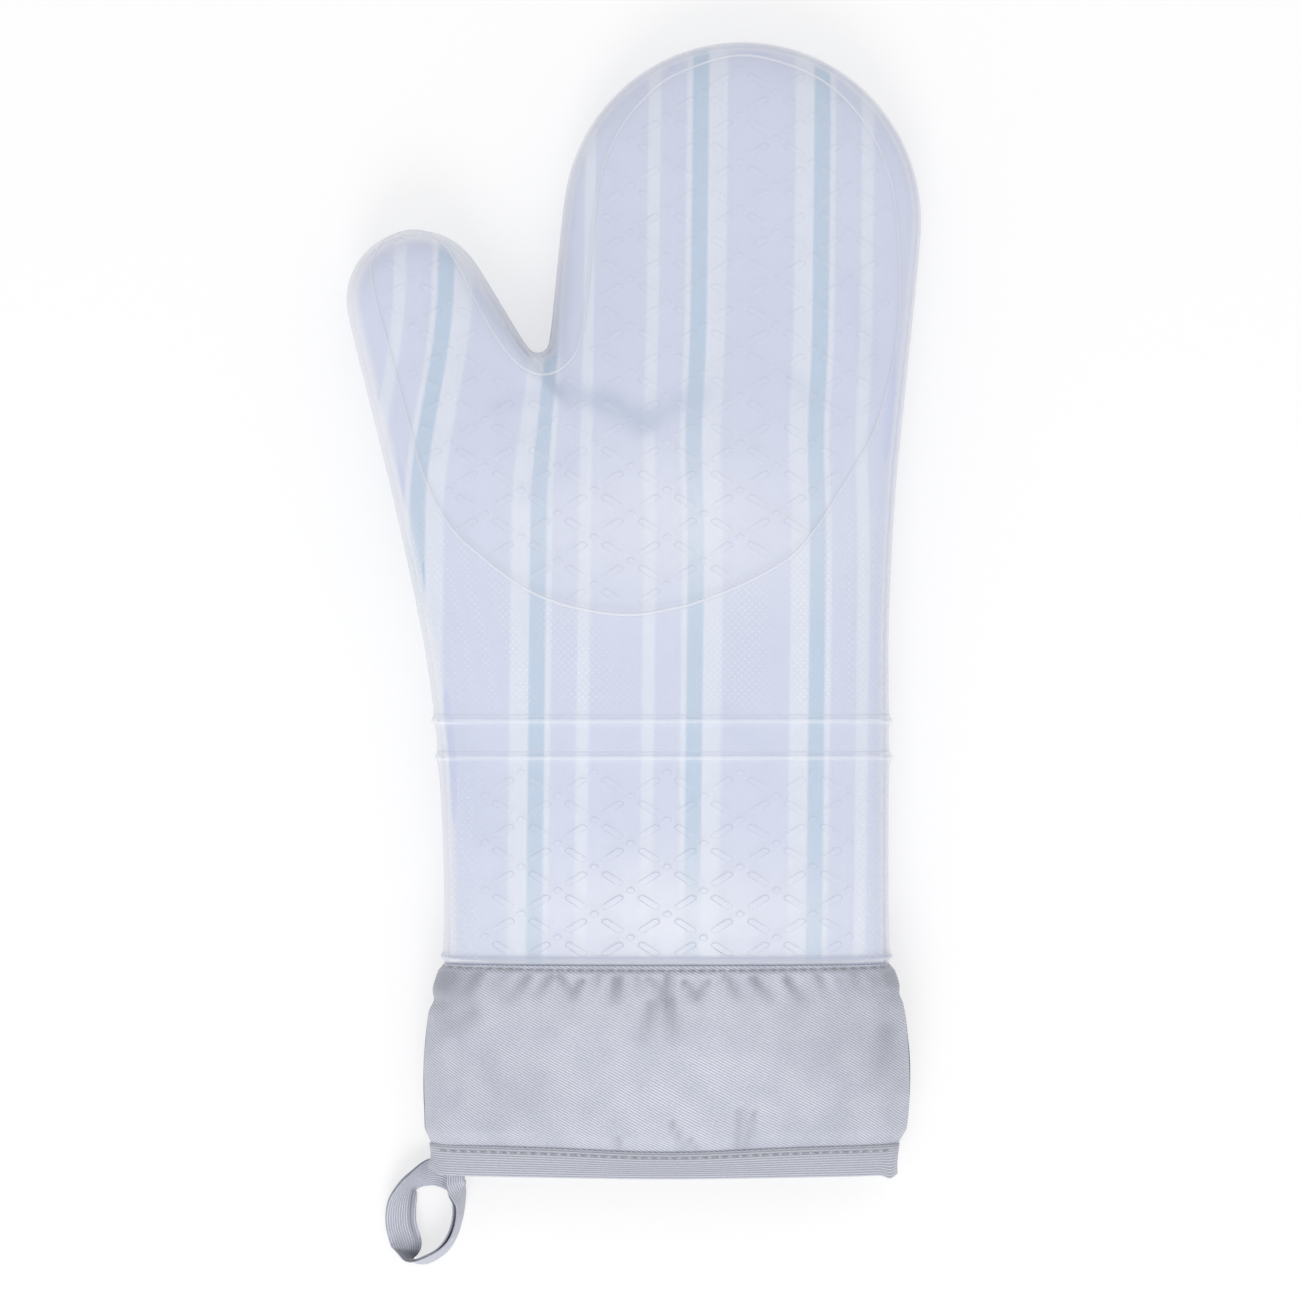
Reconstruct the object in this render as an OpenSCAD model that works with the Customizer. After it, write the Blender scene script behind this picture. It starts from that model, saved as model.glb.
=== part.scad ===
// Silicone oven mitt with a quilted liner, a twill cuff, a bound hem and a hanging loop.
// Millimetres. The mitt lies on its palm: +Y points to the fingertips, the thumb is on -X, +Z is up.

/* [Glove] */
// Length from the hem to the fingertips
glove_len = 374; // [360:1:390]
// Width across the wrist
wrist_w = 148; // [142:1:154]
// Width across the fingers
finger_w = 120; // [116:1:124]
// Sideways set of the fingertips from the middle of the wrist
finger_set = 25; // [22:1:28]
// Width of the thumb at its tip
thumb_w = 47; // [43:1:51]
// Sideways set of the thumb tip's centre from the middle of the wrist
thumb_set = 82.5; // [79:0.5:86]
// Height of the thumb tip's centre above the hem
thumb_rise = 288; // [280:1:294]
// Radius of the crotch between the thumb and the hand
crotch_r = 4; // [3:0.5:6]
// Wall of the silicone
wall = 1.8; // [1.4:0.1:2.4]

/* [Thickness, lying flat] */
// Thickness over the palm
palm_t = 38; // [34:1:42]
// Thickness at the root of the fingertips' round end
finger_t = 32; // [29:1:36]
// Thickness at the centre of the thumb tip
thumb_t = 31; // [28:1:34]
// Thickness at the wrist
wrist_t = 37; // [33:1:41]
// Thickness at the hem
hem_t = 30; // [27:1:34]

/* [Raised rings] */
// Height that each ring stands proud
ring_h = 1.4; // [0.8:0.1:1.6]
// Width of each ring
ring_w = 2.6; // [2:0.1:3.4]
// Height of the lower wrist ring above the hem
ring_rise = 137.5; // [130:0.5:144]
// Distance between the two wrist rings
ring_gap = 12; // [8:0.5:16]

/* [Liner] */
// Ease between the silicone and the liner
liner_ease = 0.5; // [0.5:0.1:0.8]
// Thickness of the striped face fabric
face_t = 0.6; // [0.4:0.1:0.9]
// Thickness of the wadding
wadding_t = 3; // [2:0.25:4]
// Thickness of the inner lining
lining_t = 0.5; // [0.4:0.1:0.9]
// Clearance between neighbouring layers
layer_gap = 0.3; // [0.25:0.05:0.4]

/* [Cuff and hem] */
// Height of the cuff's top edge above the hem
cuff_rise = 70; // [64:1:78]
// How far the silicone reaches down inside the cuff
flange = 8; // [5:1:12]
// Thickness of the twill
twill_t = 0.9; // [0.6:0.1:1.2]
// How far the cuff bellies out on each side
cuff_belly = 4.4; // [2:0.2:6]
// Height of the hem binding
hem_h = 10; // [8:0.5:13]
// How much the binding pinches the cuff
hem_pinch = 1.6; // [0.8:0.1:2]
// Thickness of the wadding where the binding squeezes it
hem_wadding_t = 0.9; // [0.7:0.1:1.8]

/* [Hanging loop] */
// Width of the tape
tape_w = 9.6; // [8:0.2:11]
// Thickness of the folded tape
tape_t = 1.2; // [0.8:0.1:1.5]
// Width of the tape where it is gathered into the seam
tape_root_w = 5.8; // [5:0.2:7.6]
// How far the loop's middle line reaches below its fold
loop_len = 25.6; // [22:0.2:32]
// How far the loop's middle line reaches sideways
loop_w = 20.6; // [17:0.2:25]
// Length of tape that is caught in the hem
loop_tuck = 8; // [5:0.5:9]

/* [Hidden] */

// Leans of the side lines from the long axis, in degrees
hand_lean = 5.7;
index_lean = 5.1;
thumb_in_lean = 30.5;
thumb_out_lean = 13.5;
// Radii of the soft bends between the wrist and the side lines
hand_bend = 320;
thumb_bend = 490;

finger_r = finger_w / 2;
thumb_r = thumb_w / 2;
fingers = [finger_set, glove_len - finger_r];
thumb = [-thumb_set, thumb_rise];
// Where the middle lines of the hand and the thumb part
fork = [-14, 0.79 * thumb_rise];

// Depths of the layers below the glove's outer surface; less than 0 lies outside it
face_d = wall + liner_ease;
wadding_d = face_d + face_t + layer_gap;
lining_d = wadding_d + wadding_t + layer_gap;
lining_end = lining_d + lining_t;
twill_d = -layer_gap - twill_t;
binding_d = twill_d - layer_gap - twill_t;

// Heights above the hem of the places where the layers begin or end
flange_y = cuff_rise - flange;
hem_floor = twill_t + layer_gap;
hem_top = hem_h + layer_gap;
pinch_end = hem_top + 2.5;
rim_y = cuff_rise + 0.8 + ring_w / 2;
upper_ring = ring_rise + ring_gap;
heel_y = upper_ring + 15;

// Cross section: a superellipse of this power, in this many steps from the side to the crown
section_power = 2.6;
steps = 5;
// The underside's crown is cut flat where this factor takes it past the table
underside_flat = 1.15;
seam_gap = 0.3;

function lerp(a, b, t) = a + (b - a) * t;
function clamp01(t) = max(0, min(1, t));
function ease(t) = let (c = clamp01(t)) c * c * (3 - 2 * c);
function unit(a) = [cos(a), sin(a)];
function norm1(v) = v / norm(v);

// ---- How wide and how high the mitt is at each height above the hem ----

function pinch(y) = hem_pinch * (1 - clamp01((y - hem_top) / (pinch_end - hem_top)));
function belly(y) = cuff_belly * sin(180 * clamp01((cuff_rise - y) / (cuff_rise + hem_h)));
function half_width(y) = wrist_w / 2 + (y < cuff_rise ? belly(y) - pinch(y) : 0);

// Top and bottom of the section at a height on the hand's middle line
function top_at(y) =
    y < cuff_rise ? lerp(hem_t, wrist_t, ease(y / cuff_rise)) - pinch(y)
    : y < fork.y ? lerp(wrist_t, palm_t, ease((y - cuff_rise) / (fork.y - cuff_rise)))
    : lerp(palm_t, finger_t, ease((y - fork.y) / (fingers.y - fork.y)));
// The cuff and the rings stand on the table, so the glove's own skin is held up by them
function bottom_at(y) =
    y <= hem_top ? -binding_d
    : y < pinch_end ? lerp(-binding_d, -twill_d, (y - hem_top) / (pinch_end - hem_top))
    : y <= cuff_rise ? -twill_d
    : lerp(max(-twill_d, ring_h), 0, clamp01((y - heel_y) / (fork.y - heel_y)));

// Share of the half width and of the half height at step j
function out(j) = pow(cos(90 * j / steps), 2 / section_power);
function up(j) = pow(sin(90 * j / steps), 2 / section_power);
function section_z(top, bottom, depth, side, g) =
    let (mid = (top + bottom) / 2)
    side > 0 ? mid + (top - depth - mid) * g
    : mid - (mid - bottom - depth) * min(1, underside_flat * g);

// A point on the wrist or cuff at height y; c runs round from the right side over the top
function girth(y, depth, c) =
    let (q = c % (4 * steps),
         a = 90 * q / steps,
         g = pow(abs(sin(a)), 2 / section_power),
         x = sign(cos(a)) * pow(abs(cos(a)), 2 / section_power))
    [x * (half_width(y) - depth), y,
     section_z(top_at(y), bottom_at(y), depth, q <= 2 * steps ? 1 : -1, g)];

// ---- Outline of the mitt, as points with their outward normals ----

// A side at height y: upright at the wrist, a soft bend, then a line that meets the tip's circle
function side_tip(s, tip, r, lean) = tip + r * [s * cos(lean), -sin(lean)];
function side(y, s, tip, r, lean, bend) =
    let (touch = side_tip(s, tip, r, lean),
         corner = touch.y - (s * touch.x - wrist_w / 2) / tan(lean),
         low = corner - bend * tan(lean / 2),
         t = asin(max(0, min(sin(lean), (y - low) / bend))),
         on_line = y > low + bend * sin(lean),
         x = on_line ? s * touch.x - (touch.y - y) * tan(lean) : half_width(y) + bend * (1 - cos(t)))
    [[s * x, y], [s * cos(t), -sin(t)]];
function hand_side(y) = side(y, 1, fingers, finger_r, hand_lean, hand_bend);
function thumb_side(y) = side(y, -1, thumb, thumb_r, thumb_out_lean, thumb_bend);

// The crotch's circle touches the line of the index side and the line of the thumb's inner side
index_out = unit(180 - index_lean);
inner_out = unit(thumb_in_lean);
index_touch = fingers + finger_r * index_out;
inner_touch = thumb + thumb_r * inner_out;
index_k = crotch_r + index_touch * index_out;
inner_k = crotch_r + inner_touch * inner_out;
cross_k = index_out.x * inner_out.y - index_out.y * inner_out.x;
crotch = [index_k * inner_out.y - inner_k * index_out.y,
          index_out.x * inner_k - inner_out.x * index_k] / cross_k;
crotch_start = -index_lean;
crotch_end = thumb_in_lean - 180;
crotch_mid = (crotch_start + crotch_end) / 2;

// From the fork to a tip the outline has a half of the crotch's arc and then a line
arc_steps = 2;
line_steps = 3;
tip_steps = arc_steps + line_steps;
function share(k) = k <= arc_steps ? 0.06 * k
    : lerp(0.06 * arc_steps, 1, (k - arc_steps) / line_steps);
function crotch_point(a) = [crotch + crotch_r * unit(a), -unit(a)];
function index_side(k) = k <= arc_steps ? crotch_point(lerp(crotch_mid, crotch_start, k / arc_steps))
    : [lerp(crotch - crotch_r * index_out, index_touch, (k - arc_steps) / line_steps), index_out];
function inner_side(k) = k <= arc_steps ? crotch_point(lerp(crotch_mid, crotch_end, k / arc_steps))
    : [lerp(crotch - crotch_r * inner_out, inner_touch, (k - arc_steps) / line_steps), inner_out];
function round_tip(tip, r, a) = [tip + r * unit(a), unit(a)];

hand_touch_y = side_tip(1, fingers, finger_r, hand_lean).y;
thumb_touch_y = side_tip(-1, thumb, thumb_r, thumb_out_lean).y;

// A plan is [outline points, the middle line's point for each, the middle line, its tops, its bottoms].
// rows are the heights of the wrist's rows, up to the fork; nf and nt are the steps round the tips.
function plan(rows, nf, nt) =
    let (na = len(rows) - 1, nr = na + tip_steps, nk = nr + tip_steps)
    [
        concat(
            [for (y = rows) hand_side(y)],
            [for (k = [1:tip_steps]) hand_side(lerp(fork.y, hand_touch_y, share(k)))],
            [for (k = [1:nf]) round_tip(fingers, finger_r,
                lerp(-hand_lean, 180 - index_lean, k / nf))],
            [for (k = [tip_steps - 1:-1:0]) index_side(k)],
            [for (k = [1:tip_steps]) inner_side(k)],
            [for (k = [1:nt]) round_tip(thumb, thumb_r,
                lerp(thumb_in_lean, 180 + thumb_out_lean, k / nt))],
            [for (k = [tip_steps - 1:-1:1]) thumb_side(lerp(fork.y, thumb_touch_y, share(k)))],
            [for (k = [na:-1:0]) thumb_side(rows[k])]
        ),
        concat(
            [for (k = [0:nr]) k],
            [for (k = [1:nf]) nr],
            [for (k = [nr - 1:-1:na]) k],
            [for (k = [nr + 1:nk]) k],
            [for (k = [1:nt]) nk],
            [for (k = [nk - 1:-1:nr + 1]) k],
            [for (k = [na:-1:0]) k]
        ),
        concat(
            [for (y = rows) [fork.x * clamp01((y - heel_y) / (fork.y - heel_y)), y]],
            [for (k = [1:tip_steps]) lerp(fork, fingers, share(k))],
            [for (k = [1:tip_steps]) lerp(fork, thumb, share(k))]
        ),
        concat(
            [for (y = rows) top_at(y)],
            [for (k = [1:tip_steps]) top_at(lerp(fork, fingers, share(k)).y)],
            [for (k = [1:tip_steps]) lerp(palm_t, thumb_t, ease(share(k)))]
        ),
        concat(
            [for (y = rows) bottom_at(y)],
            [for (k = [1:2 * tip_steps]) 0]
        )
    ];

// ---- Skins: one side of a layer, as a grid from the outline to the middle line ----

function skin(p, depth, side, lift) = concat(
    [for (i = [0:len(p[0]) - 1]) for (j = [0:steps - 1])
        let (k = p[1][i],
             edge = p[0][i][0] - depth[k] * p[0][i][1],
             xy = lerp(p[2][k], edge, out(j)),
             z = section_z(p[3][k], p[4][k], depth[k], side, up(j)))
        [xy.x, xy.y, j == 0 ? z + side * lift : z]],
    [for (k = [0:len(p[2]) - 1])
        [p[2][k].x, p[2][k].y, section_z(p[3][k], p[4][k], depth[k], side, 1)]]
);

function tri(a, b, c, flip) = a == b || b == c || c == a ? [] : [flip ? [a, b, c] : [c, b, a]];
function quad(a, b, c, d, flip) = concat(tri(a, b, c, flip), tri(a, c, d, flip));
function at(p, i, j, base, edge) =
    j == 0 ? edge + i * steps : j == steps ? base + len(p[0]) * steps + p[1][i] : base + i * steps + j;
function skin_faces(p, base, edge, flip) = [
    for (i = [0:len(p[0]) - 2]) for (j = [0:steps - 1])
        each quad(at(p, i, j, base, edge), at(p, i + 1, j, base, edge),
                  at(p, i + 1, j + 1, base, edge), at(p, i, j + 1, base, edge), flip)];
// The cut end of a layer at the mouth, between its outer and its inner skin
function mouth_faces(p, outer, outer_edge, inner, inner_edge, flip) = [
    for (i = [0, len(p[0]) - 1]) for (j = [0:steps - 1])
        each quad(at(p, i, j, outer, outer_edge), at(p, i, j + 1, outer, outer_edge),
                  at(p, i, j + 1, inner, inner_edge), at(p, i, j, inner, inner_edge),
                  i == 0 ? flip : !flip)];
function seam_faces(p, outer, inner, flip) = [
    for (i = [0:len(p[0]) - 2])
        each quad(outer + i * steps, inner + i * steps,
                  inner + (i + 1) * steps, outer + (i + 1) * steps, flip)];

// One panel of a layer, front (side 1) or back (side -1), between two lists of depths
module panel(p, outer_depth, inner_depth, side) {
    outer = skin(p, outer_depth, side, seam_gap / 2);
    inner = skin(p, inner_depth, side, seam_gap / 2);
    n = len(outer);
    back = side < 0;
    polyhedron(concat(outer, inner), concat(
        skin_faces(p, 0, 0, back),
        skin_faces(p, n, n, !back),
        mouth_faces(p, 0, 0, n, n, back),
        seam_faces(p, 0, n, back)));
}

// A whole hollow layer without a seam
module pouch(p, outer_depth, inner_depth) {
    skins = [skin(p, outer_depth, 1, 0), skin(p, outer_depth, -1, 0),
             skin(p, inner_depth, 1, 0), skin(p, inner_depth, -1, 0)];
    n = len(skins[0]);
    polyhedron(concat(skins[0], skins[1], skins[2], skins[3]), concat(
        skin_faces(p, 0, 0, false),
        skin_faces(p, n, 0, true),
        skin_faces(p, 2 * n, 2 * n, true),
        skin_faces(p, 3 * n, 2 * n, false),
        mouth_faces(p, 0, 0, 2 * n, 2 * n, false),
        mouth_faces(p, n, 0, 3 * n, 2 * n, true)));
}

// A bent slab between two grids of points of the same size
module slab(outer, inner) {
    rows = len(outer);
    cols = len(outer[0]);
    n = rows * cols;
    polyhedron(concat([for (r = outer) each r], [for (r = inner) each r]), concat(
        [for (r = [0:rows - 2]) for (c = [0:cols - 2])
            let (a = r * cols + c)
            each concat(quad(a, a + cols, a + cols + 1, a + 1, false),
                        quad(n + a, n + a + cols, n + a + cols + 1, n + a + 1, true))],
        [for (r = [0:rows - 2]) for (c = [0, cols - 1])
            let (a = r * cols + c)
            each quad(a, n + a, n + a + cols, a + cols, c != 0)],
        [for (r = [0, rows - 1]) for (c = [0:cols - 2])
            let (a = r * cols + c)
            each quad(a, a + 1, n + a + 1, n + a, r != 0)]));
}

// A closed ring swept through a list of sections with the same number of corners
module ring_sweep(sections) {
    count = len(sections);
    corners = len(sections[0]);
    polyhedron([for (s = sections) each s], [
        for (i = [0:count - 1]) for (j = [0:corners - 1])
            let (i1 = (i + 1) % count, j1 = (j + 1) % corners)
            each quad(i * corners + j, i * corners + j1, i1 * corners + j1, i1 * corners + j, false)]);
}

// ---- Rows and depths of the layers ----

// Heights across one raised ring, and how far it stands proud at a height
function ring_rows(y) = [for (t = [-1, -0.7, 0, 0.7, 1]) y + t * ring_w / 2];
function proud(y) = ring_h * max([for (c = [rim_y, ring_rise, upper_ring])
    sqrt(max(0, 1 - pow(2 * (y - c) / ring_w, 2)))]);

glove_rows = concat([flange_y, cuff_rise], ring_rows(rim_y), [lerp(rim_y, ring_rise, 0.5)],
    ring_rows(ring_rise), ring_rows(upper_ring), [heel_y, lerp(heel_y, fork.y, 0.35), fork.y]);
upper_rows = [cuff_rise, cuff_rise + 0.8, lerp(rim_y, ring_rise, 0.5), ring_rise, heel_y,
    lerp(heel_y, fork.y, 0.35), fork.y];
face_rows = concat([flange_y + 0.5], upper_rows);
cuff_rows = [hem_floor, hem_top, pinch_end, lerp(pinch_end, flange_y, 0.25),
    lerp(pinch_end, flange_y, 0.5), lerp(pinch_end, flange_y, 0.75)];
padding_rows = concat(cuff_rows, [flange_y - layer_gap], upper_rows);

function steady(p, d) = [for (k = p[2]) d];
glove_plan = plan(glove_rows, 20, 12);
face_plan = plan(face_rows, 12, 8);
padding_plan = plan(padding_rows, 12, 8);

function glove_depth() = [for (k = glove_plan[2])
    k.y < heel_y && k.y > cuff_rise + 0.01 ? -proud(k.y) : 0];
// The wadding's loss of thickness at a height, from all of it inside the binding to none above
hem_squeeze = wadding_t - hem_wadding_t;
function squeezed(y) = hem_squeeze * (1 - clamp01((y - hem_top) / (cuff_rows[3] - hem_top)));
// Below the silicone the padding fills out to the cuff
function filled(d, inner) = [for (k = padding_plan[2])
    d - wadding_d * clamp01((flange_y - layer_gap - k.y) / (flange_y - cuff_rows[5]))
    - (inner ? squeezed(k.y) : 0)];

// ---- Sub-parts ----

module silicone_glove() {
    color("#dde3f0")
        pouch(glove_plan, glove_depth(), steady(glove_plan, wall));
}

module liner_face(side) {
    color("#cdd4e9")
        panel(face_plan, steady(face_plan, face_d), steady(face_plan, face_d + face_t), side);
}

module wadding(side) {
    color("#f2f0ea")
        panel(padding_plan, filled(wadding_d, false), filled(wadding_d + wadding_t, true), side);
}

module lining(side) {
    color("#b9bfca")
        panel(padding_plan, filled(lining_d, true), filled(lining_end, true), side);
}

// Half of the cuff's tube, from one side seam over the crown to the other
module cuff(side) {
    rows = concat(cuff_rows, [flange_y - layer_gap, cuff_rise - 0.01]);
    first = side > 0 ? 0 : 2 * steps;
    color("#bec3d0")
        slab([for (y = rows) [for (c = [0:2 * steps]) parted(girth(y, twill_d, first + c), c, side)]],
             [for (y = rows) [for (c = [0:2 * steps])
                 parted(girth(y, -layer_gap, first + c), c, side)]]);
}
// The two halves of the cuff stay a seam's gap apart
function parted(q, c, side) = c == 0 || c == 2 * steps ? q + [0, 0, side * seam_gap / 2] : q;

// A strip folded over the raw edges of the twill, the wadding and the lining
inner_d = lining_end - wadding_d - hem_squeeze + layer_gap;
module hem_binding() {
    profile = [[binding_d, hem_h], [binding_d + twill_t, hem_h], [binding_d + twill_t, twill_t],
        [inner_d, twill_t], [inner_d, hem_h - 1.5], [inner_d + twill_t, hem_h - 1.5],
        [inner_d + twill_t, 0], [binding_d, 0]];
    color("#b4bac8")
        ring_sweep([for (c = [0:4 * steps - 1]) [for (q = profile) girth(q[1], q[0], c)]]);
}

// ---- Hanging loop ----

// The tape's two ends lie one on the other in the left corner of the mouth
fold_r = tape_t + layer_gap / 2;
mouth_half = half_width(0) - inner_d - twill_t;
mouth_high = (top_at(0) - bottom_at(0)) / 2 - inner_d - twill_t;
corner_share = lerp(1, out(1), (fold_r + layer_gap) / (mouth_high * up(1)));
tuck_x = -mouth_half * corner_share + tape_root_w / 2;
tuck_z = (top_at(0) + bottom_at(0)) / 2;
tuck_out = 0.6;
fold = [tuck_x, -tuck_out - layer_gap - fold_r, tuck_z];

module loop_sewn_ends() {
    color("#aeb4c2")
        for (s = [0, 1])
            translate([tuck_x - tape_root_w / 2, -tuck_out, tuck_z + (s == 0 ? layer_gap / 2 : -fold_r)])
                cube([tape_root_w, tuck_out + loop_tuck, tape_t]);
}

// Middle line of the free tape: share of the width, share of the length, drop, and the lean of
// the tape's upper edge away from the loop's middle, in degrees
loop_route = [[0, -0.02, 0, 90], [0.005, 0.055, 0.3, 90], [0.12, 0.13, 1.7, 78], [0.4, 0.13, 4.6, 34],
    [0.74, 0.13, 8.2, 48], [0.97, 0.34, 11.6, 74], [1, 0.58, 12.8, 77], [0.94, 0.82, 11.6, 62],
    [0.76, 0.985, 10, 12], [0.48, 0.98, 9.8, -20], [0.25, 0.81, 9, -22], [0.13, 0.58, 7.2, -26],
    [0.085, 0.36, 4.2, -34], [0.06, 0.2, 1, -58], [0.01, 0.07, 0, -88], [0, -0.02, 0, -90]];
loop_rings = 3;

function catmull(a, b, c, d, t) = 0.5 * (2 * b + (c - a) * t + (2 * a - 5 * b + 4 * c - d) * t * t
    + (3 * b - a - 3 * c + d) * t * t * t);
function route_at(t) =
    let (last = len(loop_route) - 1, i = min(floor(t), last - 1))
    catmull(loop_route[max(i - 1, 0)], loop_route[i], loop_route[i + 1],
            loop_route[min(i + 2, last)], t - i);
function tape_point(t) =
    let (q = route_at(t),
         layer = (tape_t + layer_gap) / 2,
         half = (len(loop_route) - 1) / 2,
         z = -q[2] + layer * (t < half ? -1 : 1))
    fold + [-loop_w * q[0], -loop_len * q[1], z];
function tape_ring(t) =
    let (way = norm1(tape_point(t + 0.05) - tape_point(t - 0.05)),
         outward = norm1(cross(way, [0, 0, 1])),
         rise = cross(outward, way),
         lean = route_at(t)[3],
         across = cos(lean) * rise + sin(lean) * outward,
         through = cross(way, across))
    tape_section(tape_point(t), across, through, tape_wide(t));
// The tape is at its full width three points of the route away from the seam
function tape_wide(t) = lerp(tape_root_w, tape_w, ease(min(t, len(loop_route) - 1 - t) / 3));
function tape_section(c, across, through, wide) =
    [for (s = [[1, 1], [-1, 1], [-1, -1], [1, -1]])
        c + s[0] * across * wide / 2 + s[1] * through * tape_t / 2];
// The fold that the loop turns on, between its upper and its lower end
function fold_section(a) =
    let (r = [0, sin(a), cos(a)])
    tape_section(fold + r * (tape_t + layer_gap) / 2, [-1, 0, 0], -r, tape_root_w);

module hanging_loop() {
    count = (len(loop_route) - 1) * loop_rings;
    color("#b9bfcc")
        ring_sweep(concat(
            [for (k = [1:count - 1]) tape_ring(k / loop_rings)],
            [for (a = [0:30:180]) fold_section(a)]));
}

// The origin is below the middle of the whole mitt's box, on the table
loop_drop = -fold.y + loop_len + 2.2;
middle = [(fingers.x + finger_r - thumb_set - thumb_r) / 2, (glove_len - loop_drop) / 2, 0];

translate(-middle) silicone_glove();
translate(-middle) liner_face(1);  // liner_face_front
translate(-middle) liner_face(-1);  // liner_face_back
translate(-middle) wadding(1);  // wadding_front
translate(-middle) wadding(-1);  // wadding_back
translate(-middle) lining(1);  // lining_front
translate(-middle) lining(-1);  // lining_back
translate(-middle) cuff(1);  // cuff_front
translate(-middle) cuff(-1);  // cuff_back
translate(-middle) hem_binding();
translate(-middle) loop_sewn_ends();
translate(-middle) hanging_loop();
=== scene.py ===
import math

import bmesh
import bpy
import numpy as np
from bpy.props import FloatProperty, FloatVectorProperty, PointerProperty
from bpy.types import Operator, Panel, PropertyGroup
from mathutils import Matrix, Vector
from mathutils.bvhtree import BVHTree


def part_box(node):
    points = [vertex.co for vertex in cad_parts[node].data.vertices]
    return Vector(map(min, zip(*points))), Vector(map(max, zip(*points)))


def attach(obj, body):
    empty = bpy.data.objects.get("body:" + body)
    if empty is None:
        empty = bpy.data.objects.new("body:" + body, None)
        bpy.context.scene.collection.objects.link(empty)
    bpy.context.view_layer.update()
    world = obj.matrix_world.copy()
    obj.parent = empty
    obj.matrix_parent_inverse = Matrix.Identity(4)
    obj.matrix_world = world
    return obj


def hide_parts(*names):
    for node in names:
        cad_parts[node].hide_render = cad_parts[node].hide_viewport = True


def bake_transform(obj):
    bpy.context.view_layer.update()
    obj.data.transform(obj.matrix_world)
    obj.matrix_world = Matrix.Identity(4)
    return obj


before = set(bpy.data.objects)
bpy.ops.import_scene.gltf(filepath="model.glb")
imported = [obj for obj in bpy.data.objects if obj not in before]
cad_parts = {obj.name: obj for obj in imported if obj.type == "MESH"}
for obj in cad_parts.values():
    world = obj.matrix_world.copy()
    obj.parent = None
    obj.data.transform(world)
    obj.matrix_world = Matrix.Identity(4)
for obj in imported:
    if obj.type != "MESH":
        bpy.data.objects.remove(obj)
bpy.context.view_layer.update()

bl_info = {
    "name": "Oven mitt",
    "version": (1, 0, 0),
    "blender": (4, 5, 0),
    "location": "3D View > Sidebar > Oven mitt",
    "description": "Dresses the packed oven mitt: silicone glove, striped liner, twill cuff "
                   "and hanging loop",
    "category": "Object",
}

MM = 0.001

# The glove's, the cuff's and the hem's boxes: everything new is placed from them
GLOVE_LOW, GLOVE_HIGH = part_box("silicone_glove")
GLOVE_X = (GLOVE_LOW.x + GLOVE_HIGH.x) / 2
CUFF_LOW, CUFF_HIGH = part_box("cuff_front")
CUFF_X = (CUFF_LOW.x + CUFF_HIGH.x) / 2
HEM_LOW, HEM_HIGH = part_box("hem_binding")


def place(x, y):
    """A point of the plan, given in millimetres from the middle of the glove's lower edge."""
    return Vector((GLOVE_X + x * MM, GLOVE_LOW.y + y * MM))


# Middle line of the raised ridge round the grip panel: up the outside of the thumb, round its
# tip, through the crotch, round the fingers and back under the palm
PANEL = [(-61, 152), (-69, 168), (-74.5, 187), (-79.5, 206), (-84, 222), (-86.5, 236), (-83, 244),
         (-76, 248.3), (-69, 248), (-62, 243), (-56, 233), (-50, 221), (-44, 211), (-37.5, 203.5),
         (-31, 200.5), (-24.5, 202), (-19, 208), (-16.5, 218), (-15, 232), (-13.5, 250), (-11, 266),
         (-6, 279), (2, 290), (13, 299), (33, 305.5), (49, 303), (62, 297), (72, 288), (80, 275.5),
         (84.5, 262), (86.5, 246), (87, 228), (86, 212), (82.5, 195), (77.5, 180), (66, 160.5),
         (58, 148.5), (50.5, 140.5), (36.5, 132.5), (23, 127), (14.5, 124.5), (-1.5, 122),
         (-20, 124.5), (-35.5, 130.5), (-50, 141)]

# Heights of the two raised rings above the glove's lower edge, in millimetres
RINGS = (75.5, 87.5)

# A knot of the grip lattice, from the middle of the glove's lower edge, in millimetres
KNOT = (-24.93, 16.9)

# Half of the cuff's width along its upper seam and where it is widest, in millimetres
SEAM_HALF, CUFF_HALF = 76, 79

# How low the relief under the mitt may reach, pressed into the floor, and the floor's height
PRESSED = -0.35 * MM
FLOOR = -0.4 * MM


def linear(code):
    """Turns an sRGB hex colour into the linear numbers that Blender works in."""
    parts = [int(code[i:i + 2], 16) / 255 for i in (1, 3, 5)]
    return [c / 12.92 if c <= 0.04045 else ((c + 0.055) / 1.055) ** 2.4 for c in parts]


def size(name, text, millimetres):
    return FloatProperty(name=name, description=text, default=millimetres * MM, min=0,
                         precision=5, unit="LENGTH")


def colour(name, text, code):
    return FloatVectorProperty(name=name, description=text, default=linear(code), min=0, max=1,
                               size=3, subtype="COLOR")


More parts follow.
